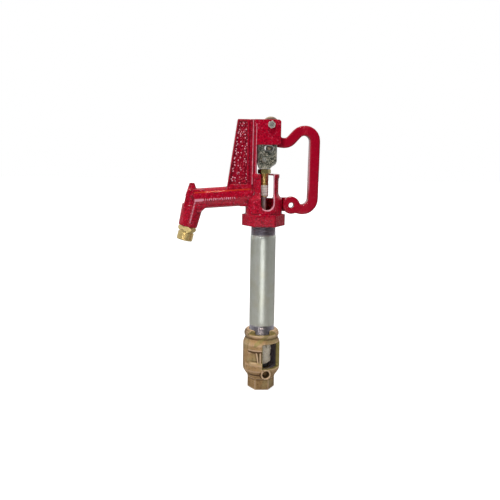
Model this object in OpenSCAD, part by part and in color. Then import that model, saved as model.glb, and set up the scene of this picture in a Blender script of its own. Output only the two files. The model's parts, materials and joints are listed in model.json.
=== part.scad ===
// Frost-proof yard hydrant, cut-away sample length.
// The origin is the centre of the inlet's bottom face, on the standpipe's axis.
// +Z is up, the spout points to -X, the lever to +X, and the cut-away side faces -Y.

/* [Valve body] */
// Distance across the flats of the inlet hexagon
inlet_af = 40; // [38:0.5:42]
// Height of the inlet hexagon
inlet_hex_h = 16.5; // [14:0.5:19]
// Radius of the inlet's pipe thread bore
inlet_r = 16; // [15:0.1:16.5]
// Depth of the inlet's pipe thread bore
inlet_depth = 20; // [16:0.5:21]
// How far the inlet's hexagon reaches below the origin
inlet_drop = 4; // [0:0.5:6]
// Outer radius of the valve body's barrel
barrel_r = 31.2; // [30:0.1:33]
// Radius of the chamber that the plunger works in
chamber_r = 24.5; // [23:0.1:25]
// Angle that the inspection window covers round the barrel
valve_window_deg = 78; // [35:1:80]
// Radius of the drain port
drain_r = 6.2; // [5.8:0.1:6.2]

/* [Standpipe] */
// Outer diameter of the standpipe
pipe_od = 42.2; // [42:0.1:42.4]
// Wall of the standpipe
pipe_wall = 3.56; // [3:0.02:4.2]
// Height of the standpipe's lower end
pipe_bottom_z = 80; // [79:0.5:84]
// Height of the standpipe's upper end
pipe_top_z = 287; // [283:0.5:288]
// Radius of the lift rod
rod_r = 3.97; // [3.9:0.01:4]

/* [Head] */
// Radius over the corners of the head's hexagon
head_hex_r = 36; // [34:0.1:36.4]
// Height of the head's lower face
head_z = 273.5; // [272:0.5:275]
// Height of the head's upper face
head_top_z = 448; // [446:0.5:450]
// Outer radius of the head's body
head_body_r = 30.5; // [30:0.1:32]
// Outer radius of the collar round the packing
collar_r = 24.2; // [24:0.1:25]
// Half thickness of the tower
tower_half_y = 14; // [13.5:0.1:15]
// Distance from the middle plane to a cheek's inner face
fork_inner_y = 13; // [12.8:0.1:13]
// Distance from the middle plane to a cheek's outer face
fork_outer_y = 19; // [18:0.1:20]
// Radius of the spout's arm
arm_r = 17; // [16:0.1:17.4]
// Slope of the spout's arm below the horizontal
arm_slope = 4.4; // [4:0.1:6]
// Tilt of the spout's outlet away from the vertical
outlet_tilt = 13.3; // [12:0.1:14]

/* [Lever] */
// Width of the lever's bar in its own plane
bar_w = 16.5; // [14:0.5:17]
// Half depth of the lever's bar
bar_half_y = 8; // [7:0.1:8.4]
// Half depth of the lever's grip
grip_half_y = 11.5; // [9:0.1:12.4]
// Half depth of the lever's web between the cheeks
web_half_y = 5; // [4:0.1:5]
// Radius of the lever's hub
hub_r = 14; // [13:0.1:14.5]
// Radius of the hole for the padlock
eye_hole_r = 4.4; // [4.4:0.1:6]
// Distance from the pivot to the crank pin
crank_r = 13; // [12.5:0.1:13.4]
// Length of the link between its two pins
link_len = 31; // [30:0.1:31.4]

/* [Hidden] */

$fn = 64;
// A small overlap that keeps cuts clean
cut = 0.5;
// Clearance round a part that is pressed or screwed in
seat_gap = 0.03;
// Radial clearance of a running fit
run_gap = 0.05;

// Lever pivot in the XZ plane
pivot = [9.3, 439.6];
// Angle of the crank pin below the horizontal at rest
crank_deg = -45;
crank = pivot + crank_r * [cos(crank_deg), sin(crank_deg)];
// Lower pin of the links at rest
yoke_pin_x = 7;
yoke_pin_z = crank[1] - sqrt(link_len * link_len - pow(crank[0] - yoke_pin_x, 2));

bolt_r = 3.2;
bush_r = 4.6;
pin_r = 2.5;
pin_head_r = 3.8;
link_inner_y = 5.3;
link_t = 2.6;
yoke_inner_y = 9.4;
yoke_outer_y = 12.4;
set_screw = [-1, 383];
set_screw_r = 2.5;

// Padlock eye of the lever
eye = [45.5, 308];
eye_r = 14.5;

// Centreline of the lever's bar: a corner and the radius that rounds it
bar_corners = [
    [[23, 411.4], 0], [[38.5, 409.7], 16], [[83.1, 459.6], 17],
    [[80.8, 301.4], 18], [[61, 301.4], 10], [[47, 305.5], 0]
];
arc_steps = 8;

// Where the arm's axis starts and where it meets the outlet's axis
arm_start = [-10, 325];
arm_len = 105.7;
elbow = arm_start + arm_len * [-cos(arm_slope), -sin(arm_slope)];
outlet_len = 46.7;
sleeve_len = 35.7;
drain_z = 25.6;
collar_top_z = 359.3;
outlet_end = elbow + outlet_len * [-sin(outlet_tilt), -cos(outlet_tilt)];
nozzle_len = 23.5;
nozzle_r = 13.5;

pipe_r = pipe_od / 2;
inner_pipe_r = pipe_r - pipe_wall;
inlet_hex_r = inlet_af / 2 / cos(30);

// Plane points to a 3-D place in the XZ plane at a given depth
function in_plane(p, y) = [p[0], y, p[1]];
function unit(v) = v / norm(v);
function across(v) = [-v[1], v[0]];

// Points of the arc that rounds corner b between a and c with radius r
function corner_arc(a, b, c, r) =
    let (
        u = unit(a - b),
        v = unit(c - b),
        half = acos(u * v) / 2,
        back = r / tan(half),
        centre = b + unit(u + v) * r / sin(half),
        p = b + u * back,
        q = b + v * back,
        start = atan2(p[1] - centre[1], p[0] - centre[0]),
        turn = atan2(q[1] - centre[1], q[0] - centre[0]) - start,
        sweep = turn > 180 ? turn - 360 : turn < -180 ? turn + 360 : turn
    )
    [for (i = [0 : arc_steps]) let (t = start + sweep * i / arc_steps) centre + r * [cos(t), sin(t)]];

// A rounded centreline from a list of corners with their radii
function rounded_path(corners) = [
    for (i = [0 : len(corners) - 1])
        each corners[i][1] == 0
            ? [corners[i][0]]
            : corner_arc(corners[i - 1][0], corners[i][0], corners[i + 1][0], corners[i][1])
];

function tangent(path, i) =
    unit(path[min(i + 1, len(path) - 1)] - path[max(i - 1, 0)]);

// Closed outline of a bar of the given width along a centreline
function bar_outline(path, width) = concat(
    [for (i = [0 : len(path) - 1]) path[i] + across(tangent(path, i)) * width / 2],
    [for (i = [len(path) - 1 : -1 : 0]) path[i] - across(tangent(path, i)) * width / 2]
);

// A cylinder along Y through a point of the XZ plane
module y_rod(p, r, y0, y1) {
    translate(in_plane(p, y0)) rotate([-90, 0, 0]) cylinder(r = r, h = y1 - y0);
}

// A hexagonal prism along Y through a point of the XZ plane
module y_hex(p, af, y0, y1, turn) {
    translate(in_plane(p, y0)) rotate([-90, turn, 0]) cylinder(r = af / 2 / cos(30), h = y1 - y0, $fn = 6);
}

// A flat shape drawn in the XZ plane, made solid between two depths
module y_slab(y0, y1) {
    translate([0, y1, 0]) rotate([90, 0, 0]) linear_extrude(y1 - y0) children();
}

// A tube or disc on the Z axis
module ring(r_out, r_in, z0, z1) {
    difference() {
        translate([0, 0, z0]) cylinder(r = r_out, h = z1 - z0);
        translate([0, 0, z0 - cut]) cylinder(r = r_in, h = z1 - z0 + 2 * cut);
    }
}

// Puts a shape that hangs down its own -Z axis on the outlet's axis
module on_outlet(p) {
    translate(in_plane(p, 0)) rotate([0, outlet_tilt, 0]) children();
}

// ---------------------------------------------------------------- valve body

module barrel_outline() {
    polygon([
        [0, inlet_hex_h - 1.5], [23, inlet_hex_h - 1.5], [23.4, 18], [28.6, 25.5], [barrel_r - 0.8, 28.5],
        [barrel_r, 31], [barrel_r, 75], [barrel_r - 1, 78], [28, 83], [27.2, 84.5], [28.4, 86.5],
        [29.3, 89], [29.3, 92], [28.2, 95], [25.5, 97.6], [23.5, 98.2], [0, 98.2]
    ]);
}

// Puts a shape that stands on its own Z axis on the drain port's axis
module on_drain() {
    rotate([0, 0, 12]) translate([0, -19, drain_z]) rotate([90, 0, 0]) children();
}

module valve_body() {
    pocket_z = 30;
    floor_z = 32.6;
    color("peru") difference() {
        union() {
            translate([0, 0, -inlet_drop]) cylinder(r = inlet_hex_r, h = inlet_hex_h + inlet_drop, $fn = 6);
            rotate_extrude() barrel_outline();
            on_drain() cylinder(r = 8.7, h = 12);
        }
        // Inlet thread, seat pocket, plunger chamber and the standpipe's socket
        translate([0, 0, -inlet_drop - cut]) cylinder(r = inlet_r, h = inlet_depth + inlet_drop + cut);
        translate([0, 0, inlet_depth - cut]) cylinder(r = 13, h = pocket_z - inlet_depth + 2 * cut);
        translate([0, 0, pocket_z]) cylinder(r = 15.5, h = floor_z - pocket_z + cut);
        translate([0, 0, floor_z]) cylinder(r = chamber_r, h = 78.5 - floor_z);
        translate([0, 0, 78]) cylinder(r = pipe_r + seat_gap, h = 25);
        // Inspection window on the front right
        rotate_extrude(angle = valve_window_deg, start = -90) translate([20, 35]) square([20, 41.5]);
        // Drain port, and the drilled way up from it to the chamber
        on_drain() translate([0, 0, 1]) cylinder(r = drain_r, h = 20);
        rotate([0, 0, 12]) translate([0, -22, drain_z]) cylinder(r = 1.8, h = 9);
        // Front of the rim milled away to show the standpipe's thread
        translate([-24, -40, 91.5]) cube([48, 22, 10]);
    }
}

module valve_seat() {
    bore_r = 8.5;
    color("goldenrod") union() {
        ring(13 - seat_gap, bore_r, inlet_depth + 1, 30);
        ring(14.5, bore_r, 30, 31);
        ring(10.6, bore_r, 30.9, 32);
    }
}

// ----------------------------------------------------------------- standpipe

module standpipe() {
    color("silver") ring(pipe_r, inner_pipe_r, pipe_bottom_z, pipe_top_z);
}

// ---------------------------------------------------------------------- head

module head_revolve() {
    rotate_extrude() polygon([
        [0, head_z + 4], [head_body_r, head_z + 4], [head_body_r, 318], [28, 321.5], [collar_r + 1, 324.5],
        [collar_r, 328], [collar_r, 352.3], [collar_r + 1.3, 353.8], [collar_r + 1.3, collar_top_z],
        [0, collar_top_z]
    ]);
}

// The tower's sloping plate, which carries the fork
module tower() {
    edge_top = [-45.2, head_top_z];
    edge_foot = [-61.5, 338];
    difference() {
        y_slab(-tower_half_y, tower_half_y)
            polygon([edge_top, edge_foot, [-65, 326], [-40, 306], [-12, 306], [-17, 352], [-17, head_top_z]]);
        // Sunk panel and groove on both faces
        for (side = [-1, 1]) {
            y_slab(side * tower_half_y - 1.6, side * tower_half_y + 1.6)
                polygon([[-43.2, head_top_z - 3], [-58.5, 341.5], [-29, 341.5], [-29, head_top_z - 3]]);
            y_slab(side * tower_half_y - 1, side * tower_half_y + 1)
                polygon([[-26.5, head_top_z + 1], [-26.5, 341.5], [-24, 341.5], [-24, head_top_z + 1]]);
        }
    }
}

// Two cheeks that hold the lever's pivot, each with a flange down the tower's edge
module fork() {
    for (side = [-1, 1]) {
        y_slab(min(side * fork_inner_y, side * fork_outer_y), max(side * fork_inner_y, side * fork_outer_y))
            polygon([
                [-18.5, 338], [-13.3, 338], [-13.3, 407], [23.2, 407], [25.2, 409], [25.2, 445.5],
                [22.6, head_top_z], [-18.5, head_top_z]
            ]);
    }
    y_slab(-fork_outer_y, fork_outer_y)
        polygon([[-18.5, 407], [-15.5, 407], [-15.5, head_top_z], [-18.5, head_top_z]]);
}

module spout() {
    translate(in_plane(arm_start, 0)) rotate([0, -90 - arm_slope, 0]) cylinder(r = arm_r, h = arm_len);
    on_outlet(outlet_end) cylinder(r1 = 15.5, r2 = 17.5, h = sleeve_len);
    // Flat-sided elbow block
    y_slab(-14.6, 14.6) polygon([
        [-133, 304], [-127.2, 330.5], [-124.5, 333.2], [-100, 333.2], [-95, 304], [-104, 296], [-131, 296]
    ]);
    // Bail nub on top of the elbow
    translate([-119.2, 0, 322]) cylinder(r1 = 11.2, r2 = 4.2, h = 21.3);
}

// Lug behind the lever's eye for the padlock
module lock_lug() {
    y_slab(9, 15) union() {
        translate(eye) circle(r = 12);
        polygon([[20, 297], [eye[0] - 2, eye[1] - 11.8], [eye[0], eye[1] + 12], [20, eye[1] + 12]]);
    }
}

// Socket that holds the packing, left standing at the back and left of the cut
module gland_boss() {
    intersection() {
        union() {
            ring(11.5, rod_r + 0.4, 319, collar_top_z);
            translate([-20, -3, 334]) cube([10, 6, 24]);
        }
        translate([-25, -20, 310]) cube([30, 40, 50]);
    }
}

module head_passages() {
    translate([0, 0, head_z - cut]) cylinder(r = pipe_r + seat_gap, h = 14.5 + cut);
    translate([0, 0, 287]) cylinder(r = 19, h = 35);
    translate([0, 0, 321]) cylinder(r = 17, h = 35.8);
    translate([0, 0, 350]) cylinder(r = 10, h = 10);
    translate(in_plane(arm_start, 0)) rotate([0, -90 - arm_slope, 0]) cylinder(r = 9, h = arm_len);
    translate(in_plane(elbow, 0)) sphere(r = 9.6);
    on_outlet(elbow) translate([0, 0, -outlet_len - cut]) cylinder(r = 9, h = outlet_len + cut);
    on_outlet(outlet_end) translate([0, 0, -cut]) cylinder(r = 11, h = 12 + cut);
}

module head_windows() {
    window_x = 4;
    window_r = 10.6;
    sill_z = 301;
    // U-shaped window in front, open at the top
    y_slab(-40, 0) union() {
        translate([window_x, sill_z + window_r]) circle(r = window_r);
        translate([window_x - window_r, sill_z + window_r]) square([2 * window_r, 60]);
    }
    // Square window in the back wall, which runs forward past the right of the gland boss
    translate([-4, 12, 318]) cube([21, 25, 38.8]);
    translate([8, -1, 318]) cube([9, 20, 38.8]);
}

module head_casting() {
    color("crimson") difference() {
        union() {
            difference() {
                union() {
                    translate([0, 0, head_z]) cylinder(r = head_hex_r, h = 19.5, $fn = 6);
                    head_revolve();
                    tower();
                    fork();
                    spout();
                    lock_lug();
                }
                head_passages();
            }
            gland_boss();
        }
        head_windows();
        // Packing chamber, pivot holes, padlock hole
        translate([0, 0, 322]) cylinder(r = 7.6 + seat_gap, h = 40);
        translate([0, 0, 318]) cylinder(r = rod_r + 0.4, h = 10);
        y_rod(pivot, bolt_r + seat_gap, -25, 25);
        y_rod(eye, eye_hole_r + 0.5, 8, 16);
        // Room for the yoke beside the tower
        translate([-15.6, -fork_inner_y, collar_top_z + 0.5]) cube([60, 2 * fork_inner_y, 100]);
    }
}

// -------------------------------------------------------------------- nozzle

module hose_nozzle() {
    bore_r = 8;
    color("gold") on_outlet(outlet_end) difference() {
        union() {
            // Threaded shank inside the spout
            translate([0, 0, -0.01]) cylinder(r = 11 - seat_gap, h = 11);
            translate([0, 0, -8]) cylinder(r = nozzle_r, h = 8);
            translate([0, 0, -11]) cylinder(r = nozzle_r - 1.6, h = 4);
            translate([0, 0, -nozzle_len]) cylinder(r = nozzle_r, h = nozzle_len - 10.5);
        }
        translate([0, 0, -nozzle_len - cut]) cylinder(r = bore_r, h = nozzle_len + 12 + 2 * cut);
    }
}

// ------------------------------------------------------------------- packing

module packing_nut() {
    color("olive") difference() {
        union() {
            translate([0, 0, 360]) cylinder(r = 11, h = 7, $fn = 6);
            translate([0, 0, 343.5]) cylinder(r = 7.6, h = 17);
        }
        translate([0, 0, 340]) cylinder(r = rod_r + 0.35, h = 30);
    }
}

module packing_gland() {
    color("goldenrod") ring(7.5, rod_r + 0.2, 341.2, 343.4);
}

module packing_rings() {
    ring_h = 4.4;
    color("whitesmoke") for (i = [0 : 3])
        ring(7.5, rod_r + 0.08, 323.4 + i * ring_h, 323.4 + (i + 1) * ring_h - 0.1);
}

module packing_washer() {
    color("goldenrod") ring(7.5, rod_r + 0.2, 322, 323.3);
}

// --------------------------------------------------------------------- pivot

module pivot_bolt() {
    color("gainsboro") union() {
        y_hex(pivot, 11.1, -fork_outer_y - 4.4, -fork_outer_y, 20);
        y_rod(pivot, bolt_r, -fork_outer_y - 0.1, fork_outer_y + 8);
    }
}

module pivot_nut() {
    color("gainsboro") difference() {
        y_hex(pivot, 11.1, fork_outer_y + 1.3, fork_outer_y + 6.8, 5);
        y_rod(pivot, bolt_r + seat_gap, fork_outer_y, fork_outer_y + 8);
    }
}

module pivot_washer() {
    color("gainsboro") difference() {
        y_rod(pivot, 7, fork_outer_y + 0.02, fork_outer_y + 1.28);
        y_rod(pivot, bolt_r + 0.2, fork_outer_y - 1, fork_outer_y + 3);
    }
}

// --------------------------------------------------------------------- lever

// Seen from above, the bar is narrow at the hub and the eye and widens to the grip
module grip_plan() {
    translate([0, 0, 270]) linear_extrude(200) polygon([
        [-20, -bar_half_y], [60, -bar_half_y], [71, -grip_half_y], [110, -grip_half_y],
        [110, grip_half_y], [71, grip_half_y], [60, bar_half_y], [-20, bar_half_y]
    ]);
}

module lever_handle() {
    path = rounded_path(bar_corners);
    arm = path[0] - pivot;
    color("crimson") difference() {
        union() {
            intersection() {
                y_slab(-20, 20) polygon(bar_outline(path, bar_w));
                grip_plan();
            }
            y_rod(eye, eye_r, -bar_half_y, bar_half_y);
            // Hub and the web that joins it to the bar
            y_rod(pivot, hub_r, -web_half_y, web_half_y);
            y_slab(-web_half_y, web_half_y) translate(pivot) rotate(atan2(arm[1], arm[0]))
                translate([0, -7.5]) square([norm(arm) + 6, 15]);
        }
        y_rod(pivot, bush_r + seat_gap, -20, 20);
        y_rod(crank, pin_r + seat_gap, -20, 20);
        y_rod(eye, eye_hole_r, -20, 20);
    }
}

module pivot_bush() {
    reach = fork_inner_y - 0.3;
    color("darkgoldenrod") difference() {
        y_rod(pivot, bush_r, -reach, reach);
        y_rod(pivot, bolt_r + run_gap, -20, 20);
    }
}

module crank_pin() {
    head_y = link_inner_y + link_t + 0.2;
    color("silver") union() {
        y_rod(crank, pin_r, -head_y - 0.1, head_y + 0.1);
        y_rod(crank, pin_head_r, -head_y - 0.9, -head_y);
        y_rod(crank, pin_head_r, head_y, head_y + 0.9);
    }
}

// --------------------------------------------------------------------- links

// A flat strap with round ends between the crank pin and the yoke pin
module link_strap(y0) {
    lower = [yoke_pin_x, yoke_pin_z];
    reach = lower - crank;
    difference() {
        union() {
            y_rod(crank, 5, y0, y0 + link_t);
            y_rod(lower, 5, y0, y0 + link_t);
            y_slab(y0, y0 + link_t) translate(crank) rotate(atan2(reach[1], reach[0]))
                translate([0, -3.5]) square([norm(reach), 7]);
        }
        y_rod(crank, pin_r + run_gap, y0 - 1, y0 + link_t + 1);
        y_rod(lower, pin_r + seat_gap, y0 - 1, y0 + link_t + 1);
    }
}

module link_front() {
    color("darkgray") link_strap(-link_inner_y - link_t);
}

module link_back() {
    color("darkgray") link_strap(link_inner_y);
}

module yoke_pin() {
    color("tan") y_rod([yoke_pin_x, yoke_pin_z], pin_r, -yoke_outer_y + 0.1, yoke_outer_y - 0.1);
}

// ---------------------------------------------------------------------- yoke

module rod_yoke() {
    slot_r = 3.5;
    slot_x = [2.5, 9.3];
    color("dimgray") difference() {
        y_slab(-yoke_outer_y, yoke_outer_y) polygon([
            [-8.5, 367.5], [8.5, 367.5], [11, 371], [18, 376], [19.6, 381], [19.6, 409], [18, 411],
            [-10.5, 411], [-12.3, 409], [-12.3, 381], [-11.5, 376], [-9.8, 371]
        ]);
        // Gap of the fork
        y_slab(-yoke_inner_y, yoke_inner_y) translate([-30, 394]) square([60, 30]);
        // Slot for the yoke pin
        for (x = slot_x) y_rod([x, yoke_pin_z], slot_r, -20, 20);
        y_slab(-20, 20) translate([slot_x[0], yoke_pin_z - slot_r]) square([slot_x[1] - slot_x[0], 2 * slot_r]);
        // Rod bore and set screw hole
        translate([0, 0, 366]) cylinder(r = rod_r + seat_gap, h = 25.5);
        y_rod(set_screw, set_screw_r + seat_gap, -20, 0);
    }
}

module yoke_set_screw() {
    color("silver") difference() {
        y_rod(set_screw, set_screw_r, -13.6, -rod_r - 0.05);
        y_hex(set_screw, 2.6, -14, -11.4, 10);
    }
}

module lift_rod() {
    color("lightgray") translate([0, 0, 44]) cylinder(r = rod_r, h = 391 - 44);
}

module rod_lock_nut() {
    color("silver") difference() {
        translate([0, 0, 73]) cylinder(r = 8, h = 5, $fn = 6);
        translate([0, 0, 70]) cylinder(r = rod_r + seat_gap, h = 10);
    }
}

// ------------------------------------------------------------------- plunger

module plunger_top_nut() {
    color("goldenrod") difference() {
        union() {
            translate([0, 0, 67.6]) cylinder(r = 9.5, h = 5.3, $fn = 6);
            ring(10.4, rod_r, 66.1, 67.7);
        }
        translate([0, 0, 60]) cylinder(r = rod_r + seat_gap, h = 20);
    }
}

module plunger_cup() {
    color("antiquewhite") difference() {
        union() {
            ring(16.6, rod_r + seat_gap, 62, 66);
            ring(15.8, 11.4, 65.5, 74.5);
        }
        // Four slots that let water out of the guide
        for (turn = [28, 118]) rotate([0, 0, turn]) translate([-1.5, -20, 67]) cube([3, 40, 10]);
    }
}

module plunger_body() {
    color("antiquewhite") difference() {
        rotate_extrude() polygon([
            [0, 38], [11.5, 38], [12.5, 40.5], [15.8, 42], [15.8, 50], [14.6, 51], [14.6, 54],
            [15.8, 55], [15.8, 61.9], [0, 61.9]
        ]);
        translate([0, 0, 44 - cut]) cylinder(r = rod_r + seat_gap, h = 30);
        translate([0, 0, 37]) cylinder(r = 2.5 + seat_gap, h = 5.6);
    }
}

module plunger_seal() {
    color("black") ring(12.2, 2.5 + seat_gap, 32.2, 37.9);
}

module seal_washer() {
    color("silver") ring(7, 2.5 + seat_gap, 31, 32.1);
}

module plunger_screw() {
    color("silver") union() {
        translate([0, 0, 27.4]) cylinder(r = 5, h = 3.5, $fn = 6);
        translate([0, 0, 30.8]) cylinder(r = 2.5, h = 11.5);
    }
}

valve_body();
valve_seat();
standpipe();
head_casting();
hose_nozzle();
packing_nut();
packing_gland();
packing_rings();
packing_washer();
pivot_bolt();
pivot_nut();
pivot_washer();
lever_handle();
pivot_bush();
crank_pin();
link_front();
link_back();
yoke_pin();
rod_yoke();
yoke_set_screw();
lift_rod();
rod_lock_nut();
plunger_top_nut();
plunger_cup();
plunger_body();
plunger_seal();
seal_washer();
plunger_screw();
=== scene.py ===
"""Looks of the cut-away yard hydrant: rounded castings, cut threads and worn metals round its frame."""
import json
import math

import bmesh
import bpy
import numpy as np
from mathutils import Matrix, Vector


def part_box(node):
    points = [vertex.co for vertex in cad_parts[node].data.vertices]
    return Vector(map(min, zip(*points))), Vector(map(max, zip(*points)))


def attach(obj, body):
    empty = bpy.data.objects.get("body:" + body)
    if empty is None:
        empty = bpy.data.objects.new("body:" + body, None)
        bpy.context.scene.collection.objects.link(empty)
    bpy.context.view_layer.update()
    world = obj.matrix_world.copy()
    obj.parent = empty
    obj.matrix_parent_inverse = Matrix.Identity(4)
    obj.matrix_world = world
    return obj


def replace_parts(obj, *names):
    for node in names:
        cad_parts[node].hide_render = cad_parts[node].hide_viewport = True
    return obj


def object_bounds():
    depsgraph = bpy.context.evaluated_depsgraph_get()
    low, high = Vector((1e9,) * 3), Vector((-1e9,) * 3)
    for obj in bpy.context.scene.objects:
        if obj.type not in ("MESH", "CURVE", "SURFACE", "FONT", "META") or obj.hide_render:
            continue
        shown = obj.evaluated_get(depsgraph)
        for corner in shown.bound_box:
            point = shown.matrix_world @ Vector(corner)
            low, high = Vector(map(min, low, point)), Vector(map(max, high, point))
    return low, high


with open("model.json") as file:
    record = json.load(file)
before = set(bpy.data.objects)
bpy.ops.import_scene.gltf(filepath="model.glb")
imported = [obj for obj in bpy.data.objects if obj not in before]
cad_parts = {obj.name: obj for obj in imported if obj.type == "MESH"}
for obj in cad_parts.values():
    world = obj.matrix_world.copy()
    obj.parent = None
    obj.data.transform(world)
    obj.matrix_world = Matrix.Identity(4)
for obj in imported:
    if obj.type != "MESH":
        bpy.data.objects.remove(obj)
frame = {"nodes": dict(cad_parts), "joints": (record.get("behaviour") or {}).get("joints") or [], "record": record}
cad_low, cad_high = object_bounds()
NODES = frame["nodes"]
RECORD = frame["record"]
MM = 0.001

BODY_OF = {n: b for b, members in RECORD["behaviour"]["bodies"].items() for n in members}
SLOT_OF = {row["node"]: row["material_slot"] for row in RECORD["subparts"]}
MOUNTS = {m["name"]: m for m in RECORD["mounts"]}
JOINTS = {j["name"]: j for j in frame["joints"]}


# ------------------------------------------------------------------ camera and light

def aim(obj, target, roll=0.0):
    """Turns a camera or lamp so that it looks at a point."""
    look = (Vector(target) - obj.location).to_track_quat("-Z", "Y")
    obj.rotation_mode = "QUATERNION"
    obj.rotation_quaternion = look @ Matrix.Rotation(roll, 4, "Z").to_quaternion()


def make_camera():
    """Near the head's height, a little to the spout's side, and tilted down at the middle."""
    distance, azimuth, height = 1.06, math.radians(-4.34), 0.395
    data = bpy.data.cameras.new("camera")
    data.lens = 45.93
    data.sensor_width = 36
    data.shift_y = -0.055
    cam = bpy.data.objects.new("camera", data)
    bpy.context.scene.collection.objects.link(cam)
    cam.location = (distance * math.sin(azimuth), -distance * math.cos(azimuth), height)
    aim(cam, (-0.0224, 0, 0.2781), math.radians(0.84))
    bpy.context.scene.camera = cam


def area_light(name, place, target, size, power, colour=(1, 1, 1)):
    data = bpy.data.lights.new(name, "AREA")
    data.shape = "RECTANGLE"
    data.size, data.size_y = size
    data.energy = power
    data.color = colour
    lamp = bpy.data.objects.new(name, data)
    bpy.context.scene.collection.objects.link(lamp)
    lamp.location = place
    lamp.visible_camera = False
    aim(lamp, target)


def seen_or_cast(tree, seen, cast):
    """A strength that is one thing where it is seen directly and another for the light it casts."""
    path = tree.nodes.new("ShaderNodeLightPath")
    pick = tree.nodes.new("ShaderNodeMapRange")
    for socket, value in (("To Min", cast), ("To Max", seen)):
        if isinstance(value, (int, float)):
            pick.inputs[socket].default_value = value
        else:
            tree.links.new(value, pick.inputs[socket])
    tree.links.new(path.outputs["Is Camera Ray"], pick.inputs["Value"])
    return pick.outputs["Result"]


def graded(tree, value, low, high, out_low, out_high):
    """Value stretched from low..high to out_low..out_high and clamped."""
    node = tree.nodes.new("ShaderNodeMapRange")
    for key, number in zip(("From Min", "From Max", "To Min", "To Max"), (low, high, out_low, out_high)):
        node.inputs[key].default_value = number
    tree.links.new(value, node.inputs["Value"])
    return node.outputs["Result"]


def make_world():
    """A white surround, dim to the front right so that bright metal has something dark to reflect."""
    world = bpy.data.worlds.new("white")
    world.use_nodes = True
    tree = world.node_tree
    surround = tree.nodes["Background"]
    surround.inputs["Color"].default_value = (1, 1, 1, 1)
    facing = tree.nodes.new("ShaderNodeSeparateXYZ")
    tree.links.new(tree.nodes.new("ShaderNodeTexCoord").outputs["Generated"], facing.inputs["Vector"])
    lean = tree.nodes.new("ShaderNodeMath")
    lean.operation = "MULTIPLY_ADD"
    lean.inputs[1].default_value = -0.35
    tree.links.new(facing.outputs["X"], lean.inputs[0])
    tree.links.new(facing.outputs["Y"], lean.inputs[2])
    cast = graded(tree, lean.outputs["Value"], -0.75, -0.05, 0.04, 0.85)
    tree.links.new(seen_or_cast(tree, 1.0, cast), surround.inputs["Strength"])
    bpy.context.scene.world = world


def make_lights():
    """A warm lamp overhead, a cool one in front, a weak one before the pipe and a tall one at the side."""
    middle = (0, 0, 0.3)
    area_light("top", (-0.15, -0.45, 1.5), middle, (0.25, 0.25), 8.5, (1, 0.86, 0.68))
    area_light("front", (-0.7, -1.15, 0.8), middle, (0.12, 0.16), 3.2, (0.97, 0.97, 1))
    area_light("strip", (-0.05, -0.45, 0.12), (0, 0, 0.12), (0.25, 0.25), 0.30)
    area_light("side", (1.0, -0.5, 0.5), middle, (0.1, 0.6), 0.35)


def make_floor():
    mesh = bpy.data.meshes.new("floor")
    half = 8.0
    foot = cad_low[2]
    corners = [(-half, -half, foot), (half, -half, foot), (half, half, foot), (-half, half, foot)]
    mesh.from_pydata(corners, [], [(0, 1, 2, 3)])
    floor = bpy.data.objects.new("floor", mesh)
    bpy.context.scene.collection.objects.link(floor)
    mesh.materials.append(floor_material())


def make_studio():
    """A pale floor that runs into a white surround, and soft lights."""
    bpy.context.scene.view_settings.view_transform = "Standard"
    make_world()
    make_lights()
    make_floor()


# ------------------------------------------------------------------ materials

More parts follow.
